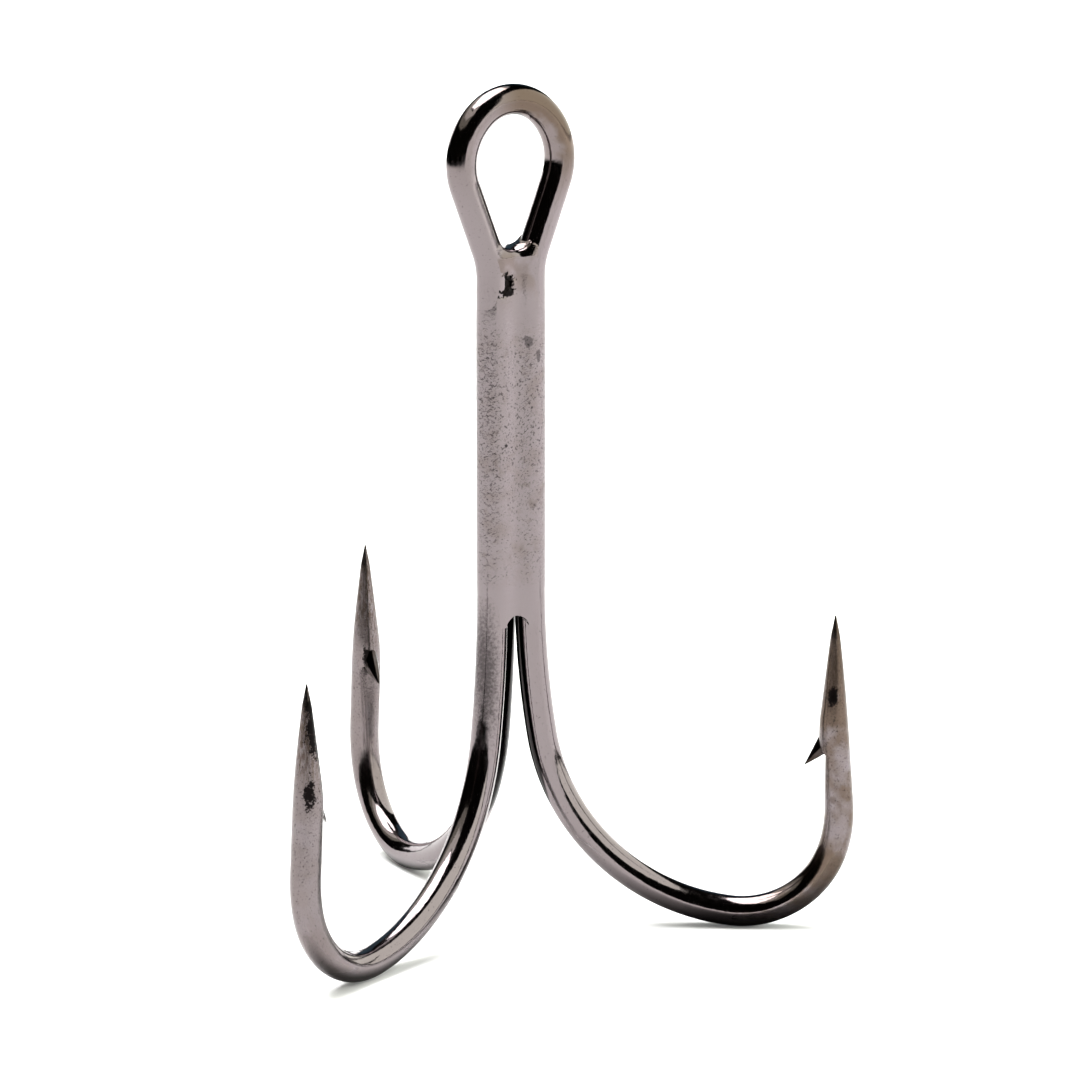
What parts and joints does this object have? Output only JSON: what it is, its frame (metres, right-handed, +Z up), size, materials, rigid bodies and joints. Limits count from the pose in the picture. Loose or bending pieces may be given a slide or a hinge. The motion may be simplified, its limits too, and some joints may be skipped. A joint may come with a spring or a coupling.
{
  "type": "treble hook",
  "caption": "Treble fishing hook: a double hook and a single hook bent from round wire and brazed back to back, with an open eye on top and barbed points.",
  "frame": {"origin": "centre of the eye, at its widest level, on the axis of its wire", "axes": "+Z up the shank towards the top of the eye; +Y through the eye's hole, towards the side of the single hook; +X across the eye"},
  "size_m": [0.0286, 0.0242, 0.04],
  "materials": {
    "plated_wire": "black-nickel plated, semi-gloss",
    "plated_braze": "black-nickel plated over filler metal, satin and lightly pitted"
  },
  "bodies": {
    "root": {"double_hook": "plated_wire", "single_hook": "plated_wire", "front_braze": "plated_braze", "left_braze": "plated_braze", "right_braze": "plated_braze", "eye_braze": "plated_braze"}
  },
  "joints": []
}
